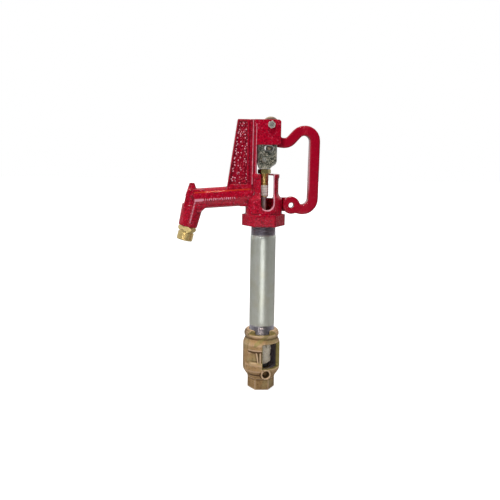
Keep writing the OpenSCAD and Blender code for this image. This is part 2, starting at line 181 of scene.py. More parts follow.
class Shader:
    """A Principled material whose inputs are fed by procedural nodes in object space."""

    def __init__(self, name):
        self.material = bpy.data.materials.new(name)
        self.material.use_nodes = True
        self.tree = self.material.node_tree
        self.bsdf = self.tree.nodes["Principled BSDF"]
        self.space = self.tree.nodes.new("ShaderNodeTexCoord").outputs["Object"]
        self.normal = None

    def link(self, source, target):
        self.tree.links.new(source, target)

    def set(self, **values):
        for key, value in values.items():
            socket = self.bsdf.inputs[key.replace("_", " ")]
            socket.default_value = (*value, 1) if isinstance(value, tuple) else value

    def stretched(self, scale):
        """Object coordinates scaled apart on each axis."""
        node = self.tree.nodes.new("ShaderNodeMapping")
        node.inputs["Scale"].default_value = scale
        self.link(self.space, node.inputs["Vector"])
        return node.outputs["Vector"]

    def noise(self, grain_mm, detail=3.0, roughness=0.55, vector=None, distortion=0.0):
        """Cloudy noise whose features are about grain_mm across."""
        node = self.tree.nodes.new("ShaderNodeTexNoise")
        node.inputs["Scale"].default_value = 1 / (grain_mm * MM)
        node.inputs["Detail"].default_value = detail
        node.inputs["Roughness"].default_value = roughness
        node.inputs["Distortion"].default_value = distortion
        self.link(vector or self.space, node.inputs["Vector"])
        return node.outputs["Fac"]

    def cells(self, size_mm):
        """Patches about size_mm across, each with its own value."""
        node = self.tree.nodes.new("ShaderNodeTexVoronoi")
        node.inputs["Scale"].default_value = 1 / (size_mm * MM)
        self.link(self.space, node.inputs["Vector"])
        return node.outputs["Color"]

    def mask(self, name):
        """A value stored on the mesh, and 0 on meshes without it."""
        node = self.tree.nodes.new("ShaderNodeAttribute")
        node.attribute_name = name
        return node.outputs["Fac"]

    def steps(self, value, low, high, out_low=0.0, out_high=1.0):
        return graded(self.tree, value, low, high, out_low, out_high)

    def math(self, operation, a, b):
        node = self.tree.nodes.new("ShaderNodeMath")
        node.operation = operation
        for socket, value in zip(node.inputs, (a, b)):
            if isinstance(value, (int, float)):
                socket.default_value = value
            else:
                self.link(value, socket)
        return node.outputs["Value"]

    def blend(self, factor, a, b):
        """Colour a where factor is 0 and b where it is 1."""
        node = self.tree.nodes.new("ShaderNodeMix")
        node.data_type = "RGBA"
        self.link(factor, node.inputs["Factor"])
        for key, value in (("A", a), ("B", b)):
            socket = [s for s in node.inputs if s.name == key and s.type == "RGBA"][0]
            if isinstance(value, tuple):
                socket.default_value = (*value, 1)
            else:
                self.link(value, socket)
        return [s for s in node.outputs if s.type == "RGBA"][0]

    def colour(self, source):
        self.link(source, self.bsdf.inputs["Base Color"])

    def roughness(self, source):
        self.link(source, self.bsdf.inputs["Roughness"])

    def metallic(self, source):
        self.link(source, self.bsdf.inputs["Metallic"])

    def bump(self, height, depth_mm):
        """Adds a layer of fine relief; layers stack."""
        node = self.tree.nodes.new("ShaderNodeBump")
        node.inputs["Strength"].default_value = 1.0
        node.inputs["Distance"].default_value = depth_mm * MM
        self.link(height, node.inputs["Height"])
        if self.normal is not None:
            self.link(self.normal, node.inputs["Normal"])
        self.normal = node.outputs["Normal"]
        self.link(self.normal, self.bsdf.inputs["Normal"])


def floor_material():
    """White that fades into the surround with distance and keeps a faint shadow near the object."""
    s = Shader("floor_white")
    s.colour(s.blend(s.noise(60), (0.43, 0.43, 0.43), (0.46, 0.46, 0.46)))
    s.set(Roughness=0.8, Specular_IOR_Level=0.1, Emission_Color=(1.0, 1.0, 1.0))
    reach = s.tree.nodes.new("ShaderNodeVectorMath")
    reach.operation = "LENGTH"
    s.link(s.space, reach.inputs[0])
    glow = s.steps(reach.outputs["Value"], 0.2, 1.2, 0.86, 1.0)
    s.link(seen_or_cast(s.tree, glow, 0.0), s.bsdf.inputs["Emission Strength"])
    return s.material


def red_enamel():
    """Glossy enamel over a sand casting, worn dark on its edges and bare where the hub rubs; painted shade darkens
    its hollows, and painted highlights give pale specks, glints and a warm orange line.
    """
    s = Shader("red_enamel")
    body = s.blend(s.noise(14, 4), (0.44, 0.001, 0.020), (0.64, 0.003, 0.034))
    grain = s.steps(s.mask("smooth"), 0, 1, 1.0, 0.3)
    dark = s.math("MULTIPLY", grain, s.steps(s.noise(3.2, 4, 0.65), 0.46, 0.66))
    body = s.blend(dark, body, (0.20, 0.001, 0.014))
    # painted highlight: scattered pale specks
    pale = s.math("MULTIPLY", grain, s.steps(s.noise(2.6, 3, 0.6), 0.57, 0.70, 0, 0.5))
    body = s.blend(pale, body, (0.88, 0.15, 0.28))
    # painted shade: darker enamel in concave places and wherever a piece's shade function adds it
    body = s.blend(s.math("MULTIPLY", s.mask("hollow"), 0.8), body, (0.10, 0.001, 0.010))
    worn = s.math("MULTIPLY", s.mask("edge"), s.steps(s.noise(1.6, 4), 0.42, 0.62))
    body = s.blend(s.math("MULTIPLY", worn, 0.5), body, (0.15, 0.02, 0.03))
    body = s.blend(s.math("MULTIPLY", s.mask("smooth"), 0.5), body, (0.36, 0.002, 0.022))
    # painted highlight: the warm orange line of light along the arm's top
    body = s.blend(s.mask("ember"), body, (0.66, 0.055, 0.015))
    # painted highlights: the glint mask
    body = s.blend(s.mask("glint"), body, (0.96, 0.46, 0.60))
    rub = s.mask("bare")
    iron = s.blend(s.noise(1.8, 5), (0.24, 0.17, 0.12), (0.50, 0.43, 0.36))
    s.colour(s.blend(rub, body, iron))
    s.metallic(s.math("MULTIPLY", rub, 0.6))
    gloss = s.steps(s.noise(5, 4), 0.3, 0.7, 0.18, 0.32)
    s.roughness(s.math("ADD", gloss, s.math("MULTIPLY", rub, 0.2)))
    s.set(Coat_Weight=0.2, Coat_Roughness=0.06, Specular_IOR_Level=0.08)
    s.bump(s.noise(3.6, 2), 0.45)
    s.bump(s.noise(1.1, 3), 0.12)
    return s.material


def metal(name, dark, light, rough, grain_mm, relief_mm, metallic=1.0, stretch=None, spots=None,
          rim=None):
    """A metal with clouded colour, uneven gloss and a fine grain, which stretch draws out on each axis."""
    s = Shader(name)
    grain = s.stretched(stretch) if stretch else None
    cloud = s.blend(s.noise(grain_mm * 6, 4), dark, light)
    if spots:
        cloud = s.blend(s.steps(s.noise(grain_mm * 2.2, 5), 0.52, 0.66), cloud, spots)
    if rim:
        cloud = s.blend(s.mask("rim"), cloud, rim)
    s.colour(cloud)
    s.roughness(s.steps(s.noise(grain_mm * 3, 4, vector=grain), 0.3, 0.7, rough[0], rough[1]))
    s.set(Metallic=metallic)
    s.bump(s.noise(grain_mm, 3, vector=grain), relief_mm)
    return s.material


def galvanised_pipe():
    """Hot-dip zinc with faint spangle and drips, dark and oily where the threads are bare."""
    s = Shader("galvanised_pipe")
    drips = s.stretched((1, 1, 0.12))
    zinc = s.blend(s.noise(9, 4, vector=drips), (0.52, 0.55, 0.49), (0.70, 0.73, 0.67))
    zinc = s.blend(s.steps(s.cells(6), 0.2, 0.9, 0, 0.35), zinc, (0.74, 0.76, 0.74))
    zinc = s.blend(s.steps(s.noise(30, 3), 0.52, 0.75, 0, 0.6), zinc, (0.58, 0.57, 0.44))
    zinc = s.blend(s.steps(s.noise(2.4, 4, vector=drips), 0.62, 0.78, 0, 0.5), zinc, (0.26, 0.26, 0.23))
    thread = s.mask("thread")
    oily = s.blend(s.noise(3, 4), (0.24, 0.25, 0.27), (0.46, 0.42, 0.48))
    s.colour(s.blend(thread, zinc, oily))
    s.roughness(s.steps(s.noise(4, 4, vector=drips), 0.3, 0.7, 0.32, 0.40))
    s.set(Metallic=0.97)
    s.bump(s.noise(9, 2, vector=drips), 0.05)
    s.bump(s.noise(0.7, 2), 0.01)
    return s.material


def cast_brass():
    """Sand-cast brass, dull tan with painted shade in its hollows and pale painted highlights on its edges, olive
    on the milled faces of the window.
    """
    s = Shader("cast_brass")
    body = s.blend(s.noise(10, 4), (0.36, 0.205, 0.085), (0.60, 0.39, 0.18))
    body = s.blend(s.steps(s.noise(3.0, 5), 0.50, 0.66, 0, 0.75), body, (0.24, 0.135, 0.06))
    body = s.blend(s.steps(s.noise(26, 3), 0.5, 0.68, 0, 0.6), body, (0.44, 0.40, 0.20))
    # painted highlight: pale cream on the convex edges
    body = s.blend(s.math("MULTIPLY", s.mask("edge"), 0.8), body, (0.92, 0.68, 0.48))
    # painted shade: darker brass in concave places and wherever valve_shade adds it
    body = s.blend(s.mask("hollow"), body, (0.13, 0.075, 0.035))
    # purple-grey on the wall of the plunger chamber
    body = s.blend(s.mask("stain"), body, s.blend(s.noise(6, 4), (0.20, 0.17, 0.19), (0.52, 0.45, 0.49)))
    cut = s.mask("bare")
    milled = s.blend(s.noise(5, 4), (0.15, 0.125, 0.045), (0.46, 0.38, 0.13))
    s.colour(s.blend(cut, body, milled))
    s.roughness(s.math("ADD", s.steps(s.noise(2, 4), 0.3, 0.7, 0.44, 0.62), s.math("MULTIPLY", cut, -0.16)))
    s.set(Metallic=0.5, Specular_IOR_Level=0.3)
    s.bump(s.noise(2.6, 3), 0.28)
    s.bump(s.noise(0.6, 3), 0.14)
    return s.material


def zinc_casting():
    """Galvanised casting: dark grey-green with light flecks where the zinc lies thick."""
    s = Shader("cast_galvanised")
    dirt = s.steps(s.noise(6.5, 4, 0.6), 0.42, 0.58)
    body = s.blend(dirt, (0.015, 0.022, 0.016), (0.20, 0.22, 0.19))
    flecks = s.steps(s.noise(3.6, 4, 0.6, distortion=1.5), 0.52, 0.62)
    body = s.blend(flecks, body, (0.82, 0.78, 0.62))
    rust = s.steps(s.noise(9, 3), 0.58, 0.68, 0, 0.7)
    body = s.blend(rust, body, (0.20, 0.12, 0.07))
    body = s.blend(s.math("MULTIPLY", s.mask("edge"), 0.7), body, (0.62, 0.64, 0.60))
    s.colour(body)
    s.roughness(s.steps(s.noise(2, 4), 0.3, 0.7, 0.26, 0.5))
    s.set(Metallic=0.45, Specular_IOR_Level=0.3)
    s.bump(s.noise(2.6, 3), 0.5)
    s.bump(s.noise(0.5, 3), 0.08)
    return s.material


def packing_nut_brass():
    """Brass gone olive and dark on the hexagon, bright gold on the threaded shank below it."""
    s = Shader("dull_brass")
    hexagon_top = s.blend(s.noise(3, 5), (0.24, 0.20, 0.06), (0.66, 0.56, 0.24))
    height = s.tree.nodes.new("ShaderNodeSeparateXYZ")
    s.link(s.space, height.inputs["Vector"])
    shank = s.steps(height.outputs["Z"], 0.3604, 0.3596)
    s.colour(s.blend(shank, hexagon_top, s.blend(s.noise(2, 4), (0.78, 0.60, 0.24), (0.96, 0.84, 0.50))))
    s.roughness(s.steps(s.noise(2.5, 4), 0.3, 0.7, 0.22, 0.38))
    s.set(Metallic=1.0)
    s.bump(s.noise(0.9, 3), 0.03)
    return s.material


def soft_plastic(name, dark, light, rough, grain_mm, relief_mm, spots=None):
    """Waxy packing, rubber or moulded plastic with faint mottling."""
    s = Shader(name)
    body = s.blend(s.noise(grain_mm * 5, 4), dark, light)
    if spots:
        body = s.blend(s.steps(s.noise(grain_mm * 3, 5), 0.56, 0.66), body, spots)
    s.colour(body)
    s.roughness(s.steps(s.noise(grain_mm * 3, 3), 0.3, 0.7, rough[0], rough[1]))
    s.bump(s.noise(grain_mm, 3), relief_mm)
    return s.material


def make_materials():
    """One material for each slot of the record."""
    return {
        "red_enamel": red_enamel(),
        "galvanised_pipe": galvanised_pipe(),
        "cast_brass": cast_brass(),
        "turned_brass": metal("turned_brass", (0.54, 0.39, 0.13), (0.90, 0.73, 0.36), (0.26, 0.38), 0.8, 0.02,
                              metallic=0.9),
        "dull_brass": packing_nut_brass(),
        "pin_brass": metal("pin_brass", (0.50, 0.38, 0.24), (0.66, 0.52, 0.36), (0.3, 0.45), 0.6, 0.02),
        "cast_galvanised": zinc_casting(),
        "zinc_steel": metal("zinc_steel", (0.34, 0.34, 0.31), (0.78, 0.79, 0.76), (0.2, 0.36), 0.7, 0.02,
                            metallic=0.6, spots=(0.20, 0.20, 0.17), rim=(0.95, 0.94, 0.90)),
        "plain_steel": metal("plain_steel", (0.22, 0.20, 0.18), (0.42, 0.40, 0.37), (0.32, 0.5), 0.9, 0.04),
        "rod_steel": metal("rod_steel", (0.74, 0.77, 0.76), (0.90, 0.92, 0.91), (0.3, 0.42), 0.6, 0.02,
                           metallic=0.5, stretch=(1, 1, 0.05)),
        "ptfe": soft_plastic("ptfe", (0.94, 0.94, 0.92), (0.98, 0.98, 0.97), (0.42, 0.55), 0.8, 0.03),
        "seal_rubber": soft_plastic("seal_rubber", (0.02, 0.02, 0.02), (0.05, 0.05, 0.05), (0.45, 0.65),
                                    0.5, 0.03),
        "plunger_plastic": soft_plastic("plunger_plastic", (0.90, 0.80, 0.62), (0.98, 0.94, 0.84),
                                        (0.4, 0.6), 0.9, 0.08, spots=(0.42, 0.30, 0.20)),
    }


# ------------------------------------------------------------------ mesh tools

def add_object(name, mesh, node):
    """Puts a new mesh in place of a CAD node: same body, same material slot."""
    piece = bpy.data.objects.new(name, mesh)
    bpy.context.scene.collection.objects.link(piece)
    mesh.materials.clear()
    mesh.materials.append(MATERIALS[SLOT_OF[node]])
    for polygon in mesh.polygons:
        polygon.use_smooth = True
    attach(piece, BODY_OF[node])
    return piece


def welded_copy(node):
    """A closed copy of a CAD node's mesh."""
    bm = bmesh.new()
    bm.from_mesh(NODES[node].data)
    bmesh.ops.remove_doubles(bm, verts=bm.verts, dist=1e-6)
    mesh = bpy.data.meshes.new(node + "_welded")
    bm.to_mesh(mesh)
    bm.free()
    return mesh


def remeshed(mesh, voxel_mm):
    """The same solid as an even grid of small quads."""
    holder = bpy.data.objects.new("holder", mesh)
    bpy.context.scene.collection.objects.link(holder)
    modifier = holder.modifiers.new("grid", "REMESH")
    modifier.mode = "VOXEL"
    modifier.voxel_size = voxel_mm * MM
    graph = bpy.context.evaluated_depsgraph_get()
    result = bpy.data.meshes.new_from_object(holder.evaluated_get(graph), depsgraph=graph)
    bpy.data.objects.remove(holder)
    return result


def read_points(mesh):
    points = np.empty(len(mesh.vertices) * 3, np.float64)
    mesh.vertices.foreach_get("co", points)
    return points.reshape(-1, 3)


def read_normals(mesh):
    normals = np.empty(len(mesh.vertices) * 3, np.float64)
    mesh.vertices.foreach_get("normal", normals)
    return normals.reshape(-1, 3)


def write_points(mesh, points):
    mesh.vertices.foreach_set("co", points.astype(np.float32).ravel())
    mesh.update()


def read_edges(mesh):
    edges = np.empty(len(mesh.edges) * 2, np.int64)
    mesh.edges.foreach_get("vertices", edges)
    return edges.reshape(-1, 2)


def neighbour_mean(edges, values):
    """Mean of each vertex's neighbours."""
    a, b = edges[:, 0], edges[:, 1]
    count = np.bincount(a, minlength=len(values)) + np.bincount(b, minlength=len(values))
    columns = []
    for k in range(values.shape[1]):
        total = np.bincount(a, values[b, k], len(values)) + np.bincount(b, values[a, k], len(values))
        columns.append(total / np.maximum(count, 1))
    return np.stack(columns, 1)


def relax(mesh, passes, weight=None):
    """Rounds edges: each pass moves a vertex half-way to its neighbours' mean, times its weight."""
    points, edges = read_points(mesh), read_edges(mesh)
    share = 0.5 if weight is None else 0.5 * weight[:, None]
    for _ in range(passes):
        points += share * (neighbour_mean(edges, points) - points)
    write_points(mesh, points)


def store_mask(mesh, name, values):
    layer = mesh.attributes.new(name, "FLOAT", "POINT")
    layer.data.foreach_set("value", np.clip(values, 0, 1).astype(np.float32))


def store_edge_masks(mesh, shade=0, spread=3):
    """Marks convex edges as 'edge' and concave ones as 'hollow', from how the normals fan out; shade adds painted
    shade to 'hollow'.
    """
    edges = read_edges(mesh)
    points, normals = read_points(mesh), read_normals(mesh)
    bend = ((neighbour_mean(edges, points) - points) * normals).sum(1)
    length = np.linalg.norm(points[edges[:, 0]] - points[edges[:, 1]], axis=1).mean()
    curve = (bend / length)[:, None]
    for _ in range(spread):
        curve = 0.5 * curve + 0.5 * neighbour_mean(edges, curve)
    store_mask(mesh, "edge", -curve[:, 0] * 14)
    store_mask(mesh, "hollow", curve[:, 0] * 14 + shade)


def smooth_step(values, low, high):
    t = np.clip((values - low) / (high - low), 0, 1)
    return t * t * (3 - 2 * t)


def between(values, low, high, soft):
    """1 inside low..high, falling to 0 over soft on each side."""
    return smooth_step(values, low - soft, low) * (1 - smooth_step(values, high, high + soft))


def ridge(values, centre, width):
    """1 at the centre, falling off smoothly over about a width on each side."""
    return np.exp(-((values - centre) / width) ** 2)


# ------------------------------------------------------------------ castings

def casting(node, name, voxel_mm, passes, shape=None, weight=None, shade=None, **masks):
    """A CAD node as a sand casting: rounded corners, a skin that may be shaped, and masks for its colours."""
    mesh = remeshed(welded_copy(node), voxel_mm)
    relax(mesh, passes, None if weight is None else weight(read_points(mesh)))
    if shape is not None:
        write_points(mesh, shape(read_points(mesh)))
    store_edge_masks(mesh, 0 if shade is None else shade(mesh))
    for label, rule in masks.items():
        store_mask(mesh, label, rule(read_points(mesh)))
    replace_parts(add_object(name, mesh, node), node)


ARM_SLOPE, SPOUT_TILT = 4.4, 13.3
ARM_RISE = 0.077


def arm_line(x):
    """Height of the cast line of pips along the spout's arm."""
    return 0.3175 + ARM_RISE * (x + 0.0826)


def arm_section(points):
    """Squares the spout's arm a little: flat sides and a sloping shoulder under a narrow top."""
    slope = math.radians(ARM_SLOPE)
    along = np.array((-math.cos(slope), 0, -math.sin(slope)))
    up = np.array((-math.sin(slope), 0, math.cos(slope)))
    offset = points - np.array((-0.010, 0, 0.325))
    t, v, y = offset @ along, offset @ up, points[:, 1]
    radius = np.hypot(v, y)
    share = between(t, 0.030, 0.104, 0.010) * between(radius, 0.0140, 0.0180, 0.001)
    flank = np.abs(y) / np.maximum(radius, 1e-6)
    shoulder = ridge(v, 0.0095, 0.0042) * ridge(np.abs(y), 0.0140, 0.004)
    belly = ridge(v, -0.0115, 0.004) * ridge(np.abs(y), 0.0125, 0.004)
    out = share * (1.3 * MM * (belly + 0.7 * shoulder) - 1.1 * MM * flank ** 6)
    outward = v[:, None] * up + y[:, None] * np.array((0, 1, 0))
    return points + (out / np.maximum(radius, 1e-6))[:, None] * outward


def head_glint(points):
    """Where the head's gloss catches the light: round the U window, down the outlet and on the elbow."""
    x, y, z = points.T
    centre_x, radius, centre_z = 0.004, 0.0106, 0.3116
    collar_skin, collar_top = 0.0222, 0.3595
    across = x - centre_x
    gap = np.where(z < centre_z, np.hypot(across, z - centre_z), np.abs(across)) - radius
    front = (y < -0.004) * (np.hypot(x, y) > collar_skin) * (z < collar_top)
    rim = 0.9 * between(gap, -0.0006, 0.0011, 0.0005) * front * (across > -0.008)
    tilt = math.radians(SPOUT_TILT)
    outlet = MOUNTS["hose_outlet"]["pos_m"]
    beside = (x - outlet[0]) * math.cos(tilt) - (z - outlet[2]) * math.sin(tilt)
    above = (x - outlet[0]) * math.sin(tilt) + (z - outlet[2]) * math.cos(tilt)
    streak = between(beside, 0.0022, 0.0032, 0.0009) * between(above, 0.026, 0.062, 0.003) * (y < -0.008)
    broken = 0.6 + 0.4 * np.sin(z * 1900) * np.sin(z * 700 + 1)
    on_line = 1 - smooth_step(np.abs(z - arm_line(x)), 0.0014, 0.0026)
    dash = between(x, -0.1135, -0.1015, 0.0015) * on_line * (y < -0.010)
    return np.maximum(rim, np.maximum(0.85 * streak * broken, 0.8 * dash))


def head_ember(points):
    """The thin orange line of light along the arm's upper edge."""
    x, y, z = points.T
    above = z - (0.325 + ARM_RISE * (x + 0.010))
    return 0.8 * between(above, 0.0100, 0.0114, 0.0008) * between(x, -0.112, -0.026, 0.006) * (y < -0.003)


PANEL_FOOT, PANEL_TOP, PANEL_RIGHT = 0.3445, 0.4420, -0.0225


def panel_left(z):
    """The tower's sunk panel leans with the tower's edge."""
    return -0.0572 + 0.0145 * (z - 0.3415) / 0.1035


def panel_shade(mesh):
    """Painted shade: darker enamel in the tower's sunk panels, and on the tower's edge."""
    x, y, z = read_points(mesh).T
    tall = between(z, PANEL_FOOT, PANEL_TOP, 0.002)
    panel = tall * between(x, panel_left(z), PANEL_RIGHT, 0.001) * (np.abs(y) > 0.010)
    edge = between(z, PANEL_FOOT - 0.006, 0.449, 0.001) * (x < panel_left(z) - 0.0005)
    return 0.38 * panel + 0.85 * edge


# Heights in mm of the relief on the valve body's front
BELT_FOOT, CREASE_Z = 64.5, 22.5


def valve_skin(points):
    """Angle from the front in degrees, height in mm, and 1 on the valve body's outer skin."""
    angle = np.degrees(np.arctan2(points[:, 0], -points[:, 1]))
    z = points[:, 2] / MM
    radius = np.hypot(points[:, 0], points[:, 1]) / MM
    heights, radii = (15, 18, 25.5, 31, 75, 78, 83, 86), (23, 23.4, 28.6, 30.5, 30.5, 29.5, 28, 28.4)
    outline = np.interp(z, heights, radii)
    return angle, z, smooth_step(radius, outline - 3.5, outline - 1.5)


def valve_relief(points):
    """Cast relief on the valve body's front: a belt, a hollow with two ribs, and a bulge below them."""
    angle, z, skin = valve_skin(points)
    belt = smooth_step(z, BELT_FOOT, BELT_FOOT + 2) * (1 - smooth_step(z, 75, 85))
    belt = belt * between(angle, -42, 4, 10)
    hollow = between(z, 48, 61, 4.0) * between(angle, -32, 4, 18)
    down = np.clip((64 - z) / 20, 0, 1)
    ribs = ridge(angle - 7 * down, -20, 3.0) + ridge(angle, -7, 2.6)
    bulge = between(z, 31, 40, 6) * between(angle, -58, -2, 8)
    crease = ridge(z, CREASE_Z, 2.2) * between(angle, -56, -6, 8)
    undercut = ridge(z, BELT_FOOT - 1, 1.3) * between(angle, -46, 2, 5)
    depth = 1.8 * hollow * (1 - np.clip(ribs, 0, 1)) - 1.1 * belt - 1.2 * bulge + 1.2 * crease
    depth = depth + 1.1 * undercut
    flat = np.stack([points[:, 0], points[:, 1], np.zeros(len(points))], 1)
    outward = flat / np.maximum(np.linalg.norm(flat, axis=1), 1e-6)[:, None]
    return points - outward * (depth * skin * MM)[:, None]


def valve_shade(mesh):
    """Painted shade in dark places: under the belt and bulge, between the ribs, on the flanks, rim and drain boss.
    """
    points = read_points(mesh)
    angle, z, skin = valve_skin(points)
    under_belt = ridge(z, BELT_FOOT - 2, 1.6) * between(angle, -47, 0, 3)
    groove = ridge(angle, -12, 2.0) * between(z, 46, 62, 2)
    under_bulge = ridge(z, CREASE_Z, 2.4) * between(angle, -58, -6, 6)
    flank = 0.4 * between(np.abs(angle + 4), 72, 110, 12)
    rim = 0.9 * (points[:, 1] < -0.0172) * (z > 90.7)
    rim = rim + 0.7 * smooth_step(z, 84, 88) * (angle < -38)
    drain = MOUNTS["drain_port"]["pos_m"]
    away = np.hypot(points[:, 0] - drain[0], points[:, 2] - drain[2])
    boss = 0.45 * (away < 0.0098) * (points[:, 1] < -0.015)
    return skin * (0.8 * under_belt + 0.5 * groove + 0.7 * under_bulge + flank) + rim + boss


def valve_inside(points):
    """The wall of the plunger chamber, which is coloured purple-grey."""
    x, y, z = points.T
    return (np.hypot(x, y) < 0.0248) * between(z, 0.031, 0.0785, 0.001)


def valve_cuts(points):
    """Milled faces of the valve body: the window's sides, a slanting skim over it and the rim's flat."""
    last, low, high = 78, 35, 76.5
    angle, z, skin = valve_skin(points)
    radius = np.hypot(points[:, 0], points[:, 1]) / MM
    soft = 0.8
    side = np.minimum(np.abs(angle), np.abs(angle - last)) * radius * math.pi / 180 < soft
    end = np.minimum(np.abs(z - low), np.abs(z - high)) < soft
    inside = (angle > -2) * (angle < last + 2) * (z > low - soft) * (z < high + soft)
    window = (side | end) * inside * (radius > 24.2)
    level = (np.abs(z - 91.5) < soft) * (points[:, 1] < -0.018)
    upright = (np.abs(points[:, 1] + 0.018) < soft * MM) * (z > 91.0) * (radius > 21.4)
    rim = (level | upright) * (z > 90)
    slant = z - 73 - 0.42 * (angle + 25)
    skim = 0.75 * between(slant, -1, 5, 2) * between(angle, -24, 40, 5) * between(z, 73, 92, 2) * skin
    return np.maximum(np.maximum(window, 0.6 * rim), skim)


def hub_rub(points):
    """The rim of the lever's hub, rubbed bare between the cheeks."""
    radius = np.hypot(points[:, 0] - PIVOT.x, points[:, 2] - PIVOT.z)
    return between(radius, 0.0, 0.0145, 0.003) * between(np.abs(points[:, 1]), 0, 0.0062, 0.001)


def bar_shade(mesh):
    """Painted shade: the enamel is darker round the bar's flanks, which face away from the front and back."""
    return 0.5 * (1 - smooth_step(np.abs(read_normals(mesh)[:, 1]), 0.45, 0.92))


def grip_glint(points):
    """The rounded corners of the grip's inner side, which catch the light along their length."""
    x, y, z = points.T
    side = (x > 0.066) * (1 - smooth_step(x, 0.0730, 0.0750))
    return 0.6 * side * between(z, 0.345, 0.385, 0.020) * between(np.abs(y), 0.0080, 0.0105, 0.002)


def everywhere(points):
    """A mask that covers the whole piece."""
    return np.ones(len(points))


def lever_freedom(points):
    """How far each point of the lever may be rounded: fully on the bar, little at its holes."""
    eye = Vector(MOUNTS["lock_eye"]["pos_m"])
    crank = Vector(JOINTS["link_swing"]["pos_m"])
    free = np.ones(len(points))
    for centre, radius in ((eye, 0.0075), (PIVOT, 0.0065), (crank, 0.0042)):
        distance = np.hypot(points[:, 0] - centre.x, points[:, 2] - centre.z)
        free = np.minimum(free, smooth_step(distance, radius, radius + 0.003))
    return 0.08 + 0.92 * free


def make_castings():
    casting("head_casting", "head", 1.0, 3, arm_section, shade=panel_shade, glint=head_glint,
            ember=head_ember)
    casting("lever_handle", "lever", 0.9, 14, weight=lever_freedom, shade=bar_shade, bare=hub_rub,
            glint=grip_glint, smooth=everywhere)
    casting("valve_body", "valve_casting", 0.8, 3, valve_relief, shade=valve_shade, bare=valve_cuts,
            stain=valve_inside)
    casting("rod_yoke", "yoke_casting", 0.6, 4)


def make_pebbles():
    """Cast pebbles in the tower's panels, two beads beside each, and a row of pips along the arm, all carrying
    painted highlights in a 'glint' layer.
    """
    random = np.random.default_rng(7)
    bm = bmesh.new()
    glint = bm.verts.layers.float.new("glint")

    def bead(foot, top, y, thick_mm):
        """A half-round bead between two points of the XZ plane, its painted highlight broken along its length."""
        low, high = Vector((foot[0], y, foot[1])), Vector((top[0], y, top[1]))
        steps = 40
        made = bmesh.ops.create_grid(bm, x_segments=8, y_segments=steps, size=1)["verts"]
        side = math.copysign(1, y)
        for v in made:
            turn, along = math.pi / 2 * v.co.x, (v.co.y + 1) / 2
            # painted highlight along the bead's crest
            gloss = 0.75 + 0.25 * math.sin(along * 61) * math.sin(along * 23 + 1)
            v[glint] = gloss * math.cos(turn) ** 2
            v.co = low.lerp(high, along) + thick_mm * MM * Vector((math.sin(turn), side * math.cos(turn), 0))

    def pebble(place, size, turn, value):
        made = bmesh.ops.create_icosphere(bm, subdivisions=2, radius=1)["verts"]
        spin = Matrix.Rotation(turn, 4, "Y")
        shape = Matrix.Diagonal((*size, 1))
        bmesh.ops.transform(bm, matrix=Matrix.Translation(place) @ spin @ shape, verts=made)
        for v in made:
            v[glint] = value

    rows, columns, gaps = 36, 6, 0.15
    panel_y, arm_y = 0.0124, 0.0160
    pips, pip_start, pip_pitch = 16, -0.100, 0.0034
    for side in (-1, 1):
        bead((-0.0207, PANEL_FOOT - 0.002), (-0.0197, PANEL_TOP + 0.004), side * 0.0140, 1.0)
        bead((-0.0152, PANEL_FOOT + 0.012), (-0.0146, PANEL_TOP - 0.001), side * 0.0189, 0.7)
        for row in range(rows):
            z = PANEL_FOOT + (PANEL_TOP - PANEL_FOOT) * row / (rows - 1)
            left = panel_left(z) + 0.0005
            right = PANEL_RIGHT - 0.0005
            for column in range(columns):
                if random.random() < gaps:
                    continue
                x = left + (right - left) * (column + 0.5 + random.uniform(-0.35, 0.35)) / columns
                lift = z + random.uniform(-0.001, 0.001)
                size = (random.uniform(0.9, 1.7) * MM, 1.2 * MM, random.uniform(0.8, 1.5) * MM)
                # painted highlight on some pebbles, more often in the first column
                bright = 0.59 if column == 0 else 0.34
                value = random.uniform(0.5, 1.0) if random.random() < bright else random.uniform(0, 0.15)
                pebble((x, side * panel_y, lift), size, random.uniform(0, math.pi), value)
        for step in range(pips):
            x = pip_start + pip_pitch * step
            tall, lean = random.uniform(1.5, 2.6), random.uniform(-0.5, 0.5)
            size = (1.15 * MM, 1.0 * MM, tall * MM)
            pebble((x, side * arm_y, arm_line(x)), size, lean, random.uniform(0.45, 1.0))
    mesh = bpy.data.meshes.new("pebbles")
    bm.to_mesh(mesh)
    bm.free()
    add_object("pebbles", mesh, "head_casting")


# ------------------------------------------------------------------ turned and threaded pieces

def turned(heights, outer, inner=None, segments=96):
    """A piece round the Z axis: outer and inner give a radius in mm for angles and a height in mm."""
    angles = np.arange(segments) * 2 * math.pi / segments
    walls = [outer] if inner is None else [outer, inner]
    verts, faces = [], []
    for wall in walls:
        for z in heights:
            radius = np.broadcast_to(wall(angles, z), angles.shape)
            verts += [(r * math.cos(t) * MM, r * math.sin(t) * MM, z * MM) for r, t in zip(radius, angles)]
    rings = len(heights)

    def at(wall, ring, k):
        return (wall * rings + ring) * segments + k % segments

    for k in range(segments):
        for ring in range(rings - 1):
            faces.append((at(0, ring, k), at(0, ring, k + 1), at(0, ring + 1, k + 1), at(0, ring + 1, k)))
            if inner is not None:
                faces.append((at(1, ring, k), at(1, ring + 1, k), at(1, ring + 1, k + 1),
                              at(1, ring, k + 1)))
        if inner is not None:
            faces.append((at(0, 0, k), at(1, 0, k), at(1, 0, k + 1), at(0, 0, k + 1)))
            end = rings - 1
            faces.append((at(0, end, k), at(0, end, k + 1), at(1, end, k + 1), at(1, end, k)))
    if inner is None:
        faces.append([at(0, 0, k) for k in reversed(range(segments))])
        faces.append([at(0, rings - 1, k) for k in range(segments)])
    mesh = bpy.data.meshes.new("turned")
    mesh.from_pydata(verts, [], faces)
    return mesh


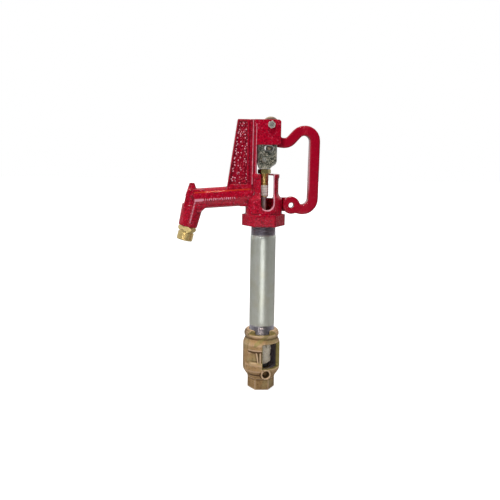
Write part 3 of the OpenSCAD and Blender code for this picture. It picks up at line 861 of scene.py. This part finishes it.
def spaced(*stops):
    """Heights from one stop to the next; each stop after the first is (height, steps)."""
    heights = [stops[0]]
    for height, steps in stops[1:]:
        start = heights[-1]
        heights += [start + (height - start) * (i + 1) / steps for i in range(steps)]
    return heights


def thread(angles, z, radius, depth, pitch):
    """Radius of a V thread with rounded crests at a height."""
    phase = (z / pitch - angles / (2 * math.pi)) % 1
    return radius - depth * np.clip(np.abs(2 * phase - 1) * 1.25 - 0.12, 0, 1)


def hexagon(angles, across_flats, turn=0.0):
    step = math.pi / 3
    return across_flats / 2 / np.cos((angles + turn) % step - step / 2)


def constant(radius):
    return lambda angles, z: np.full(angles.shape, float(radius))


def turned_piece(name, node, mesh, matrix=None, sharp=40):
    """Puts a turned mesh in place of its CAD node, with crisp edges over the angle sharp."""
    if matrix is not None:
        mesh.transform(matrix)
    piece = add_object(name, mesh, node)
    mesh.set_sharp_from_angle(angle=math.radians(sharp))
    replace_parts(piece, node)


PIPE_FROM, PIPE_TO = 108, 255


def pipe_outer(angles, z):
    """Standpipe skin: plain zinc between two tapered threads, with faint drawing waves."""
    radius, taper, pitch = 21.1, 1 / 32, 2.209
    into = max(z - PIPE_TO, PIPE_FROM - z)
    if into > 0:
        return thread(angles, z, radius - into * taper, 1.15 * min(1, into / 5), pitch)
    return radius + 0.03 * np.sin(3 * angles + z / 17) + 0.02 * np.sin(5 * angles - z / 9)


def make_standpipe():
    bottom, top = (v / MM for v in (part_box("standpipe")[0].z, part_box("standpipe")[1].z))
    heights = spaced(bottom, (PIPE_FROM, 100), (PIPE_TO, 30), (top, 110))
    mesh = turned(heights, pipe_outer, constant(17.54), 120)
    z = read_points(mesh)[:, 2] / MM
    below, over = 1 - smooth_step(z, 104, 107), smooth_step(z, 257, 259.5)
    store_mask(mesh, "thread", np.maximum(below, over))
    turned_piece("pipe", "standpipe", mesh)


def nozzle_outer(angles, z):
    """Hose outlet from its end at z = 0 up: thread, groove, hexagonal band, shank in the spout."""
    length, band, groove = 23.5, 8, 2.5
    if z > length:
        return np.full(angles.shape, 10.9)
    if z > length - band:
        chamfer = min(z - (length - band), length - z)
        return np.minimum(hexagon(angles, 26.2), 13.3 + 0.7 * chamfer)
    if z > length - band - groove:
        return np.full(angles.shape, 11.6)
    lead = min(1.0, z / 1.5)
    return thread(angles, z, 12.7 + 0.8 * lead, 0.55 * min(1, z / 1.2), 2.2)


def nozzle_inner(angles, z):
    return np.full(angles.shape, 8.0 if z > 1.2 else 9.2 - z)


def make_nozzle():
    tilt = math.radians(SPOUT_TILT)
    axis = Vector(MOUNTS["hose_outlet"]["axis"])
    middle = Vector(MOUNTS["hose_outlet"]["pos_m"])
    end = middle + axis * 6.5 * MM
    heights = spaced(0.0, (1.2, 4), (12.9, 64), (13.05, 1), (15.45, 2), (15.55, 1), (23.45, 12), (23.55, 1),
                     (34, 3))
    mesh = turned(heights, nozzle_outer, nozzle_inner, 120)
    place = Matrix.Translation(end) @ Matrix.Rotation(tilt, 4, "Y")
    turned_piece("nozzle", "hose_nozzle", mesh, place, 30)


NUT_SEAT, NUT_TOP = 360.0, 367


def nut_outer(angles, z):
    """Packing nut: threaded shank below a chamfered hexagon."""
    if z < NUT_SEAT:
        return thread(angles, z, 7.6, 0.75, 1.6)
    chamfer = min(z - NUT_SEAT, NUT_TOP - z)
    return np.minimum(hexagon(angles, 19.05), 10.1 + 0.9 * chamfer)


def make_packing():
    """The packing nut, and four braided rings below it."""
    heights = spaced(343.5, (NUT_SEAT - 0.1, 84), (NUT_SEAT, 1), (NUT_TOP, 14))
    turned_piece("gland_nut", "packing_nut", turned(heights, nut_outer, constant(4.32)), sharp=30)

    foot, ring_h = 323.4, 4.4

    def braid(angles, z):
        level = (z - foot) / ring_h % 1
        round_edge = 0.55 * abs(2 * level - 1) ** 4
        weave = 0.10 * np.sin(14 * angles + 5 * z) * np.sin(14 * angles - 5 * z)
        return 7.45 - round_edge + weave

    heights = [foot + ring_h * (i + t) for i in range(4) for t in np.linspace(0.01, 0.97, 12)]
    turned_piece("packing", "packing_rings", turned(heights, braid, constant(4.06)), sharp=60)


def along_y(place):
    """Stands a Z-axis piece along Y, its low end towards the front, at a point."""
    return Matrix.Translation(place) @ Matrix.Rotation(-math.pi / 2, 4, "X")


def make_pivot():
    """The lever's pivot bolt, with a pale rim coloured on its head, and its nut."""
    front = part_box("pivot_bolt")[0].y / MM
    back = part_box("pivot_bolt")[1].y / MM
    head_back, thread_from, hex_af = -19.0, 12, 11.1
    axis = along_y((PIVOT.x, 0, PIVOT.z))

    def bolt(angles, y):
        if y < front + 0.01:
            return np.full(angles.shape, 2.8)
        if y < head_back:
            into = y - front
            return np.minimum(hexagon(angles, hex_af, 0.35), 5.4 + 1.1 * into + 0.2)
        if y < thread_from:
            return np.full(angles.shape, 3.2)
        return thread(angles, y, 3.19, 0.45, 1.27)

    heights = spaced(front, (front + 0.05, 1), (front + 0.6, 3), (head_back - 0.02, 8), (head_back, 1),
                     (thread_from, 4), (back - 0.6, 80), (back, 2))
    mesh = turned(heights, bolt)
    x, y, z = read_points(mesh).T / MM
    store_mask(mesh, "rim", (np.hypot(x, y) > 4.4) * (z < front + 1.6))
    turned_piece("bolt", "pivot_bolt", mesh, axis, 30)

    near, far = (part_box("pivot_nut")[i].y / MM for i in (0, 1))

    def nut(angles, y):
        return np.minimum(hexagon(angles, hex_af, 0.1), 5.5 + 1.1 * min(y - near, far - y))

    heights = spaced(near, (near + 0.8, 4), (far - 0.8, 4), (far, 4))
    turned_piece("nut", "pivot_nut", turned(heights, nut, constant(3.25)), axis, 30)


# ------------------------------------------------------------------ small pieces

def eased(node, name, bevel_mm):
    """A CAD node with its sharp edges broken."""
    bm = bmesh.new()
    bm.from_mesh(NODES[node].data)
    bmesh.ops.remove_doubles(bm, verts=bm.verts, dist=1e-6)
    bmesh.ops.dissolve_limit(bm, angle_limit=math.radians(0.5), verts=bm.verts, edges=bm.edges)
    corners = [e for e in bm.edges if e.is_manifold and e.calc_face_angle(0) > math.radians(35)]
    bmesh.ops.bevel(bm, geom=corners, offset=bevel_mm * MM, segments=2, affect="EDGES",
                    clamp_overlap=True, profile=0.6)
    bmesh.ops.triangulate(bm, faces=[f for f in bm.faces if len(f.verts) > 4])
    mesh = bpy.data.meshes.new(name)
    bm.to_mesh(mesh)
    bm.free()
    piece = add_object(name, mesh, node)
    mesh.set_sharp_from_angle(angle=math.radians(32))
    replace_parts(piece, node)


# node: (name of its piece, bevel in mm)
SMALL = {
    "valve_seat": ("seat", 0.3), "packing_gland": ("gland", 0.2), "packing_washer": ("rest_washer", 0.2),
    "pivot_washer": ("washer", 0.25), "pivot_bush": ("bush", 0.3), "crank_pin": ("rivet", 0.45),
    "link_front": ("front_link", 0.4), "link_back": ("back_link", 0.4), "yoke_pin": ("slot_pin", 0.5),
    "yoke_set_screw": ("set_screw", 0.3), "lift_rod": ("rod", 0.4), "rod_lock_nut": ("lock_nut", 0.6),
    "plunger_top_nut": ("top_nut", 0.5), "plunger_cup": ("cup", 0.9), "plunger_body": ("plunger", 0.5),
    "plunger_seal": ("seal", 0.8), "seal_washer": ("small_washer", 0.25),
    "plunger_screw": ("foot_screw", 0.4),
}


MATERIALS = make_materials()
PIVOT = Vector(JOINTS["lever_lift"]["pos_m"])

make_camera()
make_studio()
make_castings()
make_pebbles()
make_standpipe()
make_nozzle()
make_packing()
make_pivot()
for node, (name, bevel_mm) in SMALL.items():
    eased(node, name, bevel_mm)
